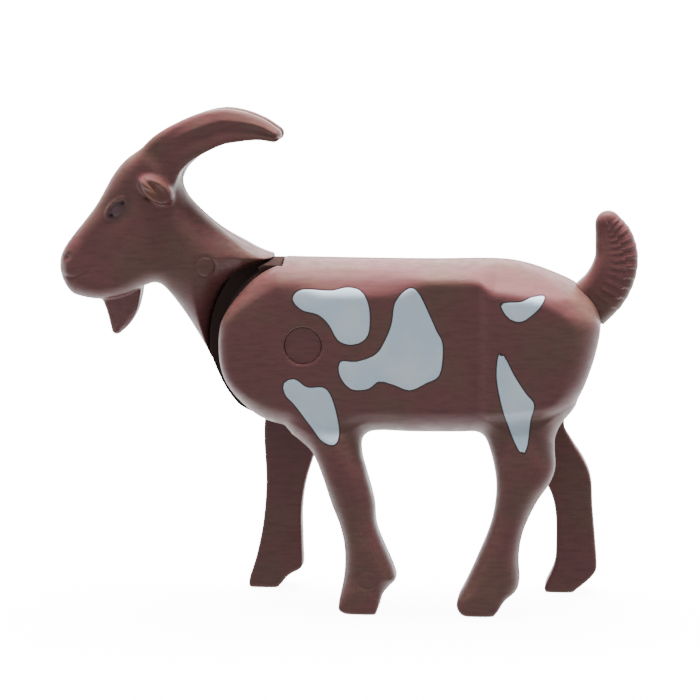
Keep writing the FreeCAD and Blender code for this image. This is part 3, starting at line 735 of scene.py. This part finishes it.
def plastic(name, patches=False, painted_and_shaded=False):
    """Moulded plastic with marbled colour, fine streaks along the goat and a faint grain."""
    material = bpy.data.materials.new(name)
    material.use_nodes = True
    nodes, links = material.node_tree.nodes, material.node_tree.links
    nodes.clear()
    output = nodes.new("ShaderNodeOutputMaterial")
    shader = nodes.new("ShaderNodeBsdfPrincipled")
    links.new(shader.outputs["BSDF"], output.inputs["Surface"])
    shader.inputs["IOR"].default_value = 1.45
    place = nodes.new("ShaderNodeTexCoord")

    def noise(stretch, scale, detail):
        mapping = nodes.new("ShaderNodeMapping")
        mapping.inputs["Scale"].default_value = [1000.0 * value for value in stretch]
        texture = nodes.new("ShaderNodeTexNoise")
        texture.inputs["Scale"].default_value = scale
        texture.inputs["Detail"].default_value = detail
        links.new(place.outputs["Object"], mapping.inputs["Vector"])
        links.new(mapping.outputs["Vector"], texture.inputs["Vector"])
        return texture.outputs["Fac"]

    def ramp(value, start, end, low=0.0, high=1.0):
        node = nodes.new("ShaderNodeMapRange")
        node.interpolation_type = "SMOOTHSTEP"
        set_range(node, start, end, low, high)
        links.new(value, node.inputs["Value"])
        return node.outputs["Result"]

    def mix(factor, first, other):
        node = nodes.new("ShaderNodeMix")
        node.data_type = "RGBA"
        links.new(factor, node.inputs["Factor"])
        for socket, value in ((node.inputs[6], first), (node.inputs[7], other)):
            if isinstance(value, tuple):
                socket.default_value = (*value, 1.0)
            else:
                links.new(value, socket)
        return node.outputs[2]

    blotches = ramp(noise((1, 1, 1), 0.17, 4.0), 0.42, 0.62)
    streaks = ramp(noise((0.45, 1, 2.4), 1.1, 4.0), 0.4, 0.7, 0.0, 0.4)
    flecks = ramp(noise((1, 1, 1), 1.3, 4.0), 0.5, 0.72, 0.0, 0.6)
    tone = mix(blotches, BROWN, OLIVE_BROWN)
    tone = mix(streaks, tone, DARK_BROWN)
    tone = mix(flecks, tone, BROWN)
    rough = ramp(noise((1, 1, 1), 0.8, 2.0), 0.3, 0.7, *ROUGHNESS)
    # The head's colour attribute holds the printed eyes, the ears' inner colour and painted shade
    # in the groove round the neck's joint. Where it is at full strength, the plastic is made matt.
    if painted_and_shaded:
        attribute = nodes.new("ShaderNodeAttribute")
        attribute.attribute_name = "paint_and_shade"
        tone = mix(attribute.outputs["Alpha"], tone, attribute.outputs["Color"])
        matt = nodes.new("ShaderNodeMath")
        matt.operation = "MAXIMUM"
        links.new(rough, matt.inputs[0])
        links.new(ramp(attribute.outputs["Alpha"], 0.85, 1.0), matt.inputs[1])
        rough = matt.outputs["Value"]
    if patches:
        attribute = nodes.new("ShaderNodeAttribute")
        attribute.attribute_name = "patch"
        distance = attribute.outputs["Fac"]
        # Painted shade: a thin dark line along each patch's edge.
        tone = mix(ramp(distance, 0.2, 0.06), tone, PATCH_EDGE_SHADE)
        pale = mix(ramp(noise((1, 1, 1), 0.3, 3.0), 0.35, 0.65), PATCH_BLUE, PATCH_GREY)
        tone = mix(ramp(distance, 0.03, -0.05), tone, pale)
    links.new(tone, shader.inputs["Base Color"])
    links.new(rough, shader.inputs["Roughness"])
    bump = nodes.new("ShaderNodeBump")
    bump.inputs["Strength"].default_value = 0.12
    bump.inputs["Distance"].default_value = 0.0001
    links.new(noise((0.6, 1, 2.2), 2.2, 5.0), bump.inputs["Height"])
    links.new(bump.outputs["Normal"], shader.inputs["Normal"])
    return material


def vertex_places(mesh):
    """The mesh's points as rows of x, y, z in metres."""
    places = np.empty(len(mesh.vertices) * 3)
    mesh.vertices.foreach_get("co", places)
    return places.reshape(-1, 3)


def paint_patches(piece):
    """Store each point's distance to the nearest patch edge, and stand the paint slightly proud."""
    mesh = piece.data
    places = vertex_places(mesh)
    normals = np.empty(places.size)
    mesh.vertex_normals.foreach_get("vector", normals)
    normals = normals.reshape(-1, 3)
    x, z = places[:, 0] / MM, places[:, 2] / MM
    distance = np.full(len(places), PATCH_FAR)
    for outline in PATCHES:
        distance = np.minimum(distance, edge_distance(smooth_line(outline, 5, True), x, z))
    facing_out = normals[:, 1] * np.sign(places[:, 1]) > 0.1
    outside = np.abs(places[:, 1]) / MM > PATCH_INNER
    distance = np.where(facing_out & outside, distance, PATCH_FAR)
    attribute = mesh.attributes.new("patch", "FLOAT", "POINT")
    attribute.data.foreach_set("value", distance.astype(np.float32))
    places += normals * (PATCH_RISE * MM * (1 - fade(distance, -0.15, 0.1)))[:, None]
    mesh.vertices.foreach_set("co", places.ravel())
    mesh.update()


def paint_and_shade_head(piece):
    """Tint the eyes and the insides of the ears, and paint shade into the deep groove round the
    neck's joint.
    """
    mesh = piece.data
    x, y, z = vertex_places(mesh).T / MM
    paint_and_shade = np.zeros((len(x), 4))

    def tint(colour, amount):
        share = amount[:, None]
        paint_and_shade[:, :3] = paint_and_shade[:, :3] * (1 - share) + np.array(colour) * share
        paint_and_shade[:, 3] = np.maximum(paint_and_shade[:, 3], amount)

    outer = fade(np.abs(y), 2.4, 3.0)
    tint(EYE_PURPLE, 0.6 * outer * dome(x, z, EYE_MIDDLE, (1.4, 0.8), EYE_TURN))
    for corner in EYE_CORNERS:
        tint(EYE_DARK, outer * dome(x, z, corner, (0.42, 0.26), 30.0))
    tint(EAR_ORANGE, 0.8 * fade(np.abs(y), 4.3, 5.0) * dome(x, z, EAR_MIDDLE, (1.7, 1.5)))
    reach = np.hypot(x - PIVOT_X, z - PIVOT_Z)
    edge = crescent_radius(turn_about_pivot(x, z))
    # Painted shade: the groove round the neck's joint is darkened in colour where shade falls
    # between the neck and the shells.
    tint(GROOVE_PAINTED_SHADE, (1 - fade(reach, edge - 0.05, edge + 0.1)) * (1 - fade(np.abs(y), 4.4, 4.7)))
    attribute = mesh.attributes.new("paint_and_shade", "FLOAT_COLOR", "POINT")
    attribute.data.foreach_set("color", paint_and_shade.astype(np.float32).ravel())


# ---------------------------------------------------------------------------
# Pieces


def finish_piece(piece, body, node, material):
    """Give a piece its material and the body that it rides on, and hide the node that it stands
    for.
    """
    piece.data.materials.clear()
    piece.data.materials.append(material)
    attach(piece, body)
    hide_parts(node)


def make_pieces():
    """Both halves of the body and head, the tail, and the pin's finish."""
    coat = plastic("coat_plastic", patches=True)
    skin = plastic("head_plastic", painted_and_shaded=True)
    plain = plastic("plain_plastic")
    for side, side_name in SIDE_NAMES.items():
        field, grid = body_half(side)
        piece = mesh_from(field, grid, f"shell_{side_name}", 0.6)
        paint_patches(piece)
        finish_piece(piece, "body", f"body_{side_name}", coat)
        field, grid = head_half(side)
        piece = mesh_from(field, grid, f"face_{side_name}", 0.5)
        paint_and_shade_head(piece)
        finish_piece(piece, "head", f"head_{side_name}", skin)
    field, grid = tail_field()
    piece = mesh_from(field, grid, "plume", 0.6)
    finish_piece(piece, "body", "tail", plain)
    pin = frame["nodes"]["neck_pivot_pin"]
    pin.data.materials.clear()
    pin.data.materials.append(plain)


# ---------------------------------------------------------------------------
# Stage


# The surround is brighter towards one side; angles are in degrees and lengths in metres.
SURROUND_BRIGHT_SIDE = (0.0, 0.8, -0.6)
SURROUND_STRENGTHS = (0.62, 3.6)
FLOOR_REACH = 6.0
FLOOR_GLOW = 11.0
SUN_ENERGY = 25.0
SUN_SPREAD = 48.0
SUN_TILT = -14.0
CAMERA_AZIMUTH = 5.0
CAMERA_ELEVATION = 8.0
CAMERA_DISTANCE = 0.38
CAMERA_TARGET = (0.0, 0.0, 0.027)
CAMERA_LENS = 173.7
CAMERA_SHIFT = (0.0039, 0.0186)


def set_world():
    """A pale surround, brightest behind and below the goat."""
    world = bpy.data.worlds.new("surround")
    bpy.context.scene.world = world
    world.use_nodes = True
    nodes, links = world.node_tree.nodes, world.node_tree.links
    nodes.clear()
    output = nodes.new("ShaderNodeOutputWorld")
    background = nodes.new("ShaderNodeBackground")
    place = nodes.new("ShaderNodeTexCoord")
    towards = nodes.new("ShaderNodeVectorMath")
    towards.operation = "DOT_PRODUCT"
    towards.inputs[1].default_value = SURROUND_BRIGHT_SIDE
    strength = nodes.new("ShaderNodeMapRange")
    strength.interpolation_type = "SMOOTHSTEP"
    set_range(strength, -0.2, 0.8, *SURROUND_STRENGTHS)
    links.new(place.outputs["Generated"], towards.inputs[0])
    links.new(towards.outputs["Value"], strength.inputs["Value"])
    links.new(strength.outputs["Result"], background.inputs["Strength"])
    background.inputs["Color"].default_value = (1.0, 1.0, 1.0, 1.0)
    links.new(background.outputs["Background"], output.inputs["Surface"])


def make_stage():
    """A plain pale floor under a large soft light."""
    mesh = bpy.data.meshes.new("floor")
    square = [(-1, -1), (1, -1), (1, 1), (-1, 1)]
    ground = CAD_BOX[0][2]
    corners = [(FLOOR_REACH * x, FLOOR_REACH * y, ground) for x, y in square]
    mesh.from_pydata(corners, [], [(0, 1, 2, 3)])
    floor = bpy.data.objects.new("floor", mesh)
    bpy.context.scene.collection.objects.link(floor)
    material = bpy.data.materials.new("floor_paper")
    material.use_nodes = True
    shader = material.node_tree.nodes["Principled BSDF"]
    shader.inputs["Base Color"].default_value = (0.6, 0.6, 0.6, 1.0)
    shader.inputs["Roughness"].default_value = 0.9
    shader.inputs["Specular IOR Level"].default_value = 0.0
    shader.inputs["Emission Color"].default_value = (1.0, 1.0, 1.0, 1.0)
    shader.inputs["Emission Strength"].default_value = FLOOR_GLOW
    mesh.materials.append(material)
    floor.visible_diffuse = False
    floor.visible_glossy = False
    sun = bpy.data.lights.new("overhead", "SUN")
    sun.energy = SUN_ENERGY
    sun.angle = math.radians(SUN_SPREAD)
    lamp = bpy.data.objects.new("overhead", sun)
    lamp.rotation_euler = (math.radians(SUN_TILT), 0.0, 0.0)
    lamp.visible_glossy = False
    bpy.context.scene.collection.objects.link(lamp)


def set_camera():
    """The camera that the goat is seen with: near side on, a little from behind and above."""
    azimuth, elevation = math.radians(CAMERA_AZIMUTH), math.radians(CAMERA_ELEVATION)
    back = Vector((
        math.sin(azimuth) * math.cos(elevation),
        -math.cos(azimuth) * math.cos(elevation),
        math.sin(elevation),
    ))
    camera = bpy.data.cameras.new("camera")
    camera.lens = CAMERA_LENS
    camera.sensor_width = 36.0
    camera.shift_x, camera.shift_y = CAMERA_SHIFT
    camera.clip_start = 0.01
    camera.clip_end = 50.0
    camera.dof.use_dof = False
    eye_point = bpy.data.objects.new("camera", camera)
    eye_point.location = Vector(CAMERA_TARGET) + back * CAMERA_DISTANCE
    eye_point.rotation_euler = (-back).to_track_quat("-Z", "Y").to_euler()
    bpy.context.scene.collection.objects.link(eye_point)
    bpy.context.scene.camera = eye_point


make_pieces()
make_stage()
set_world()
set_camera()
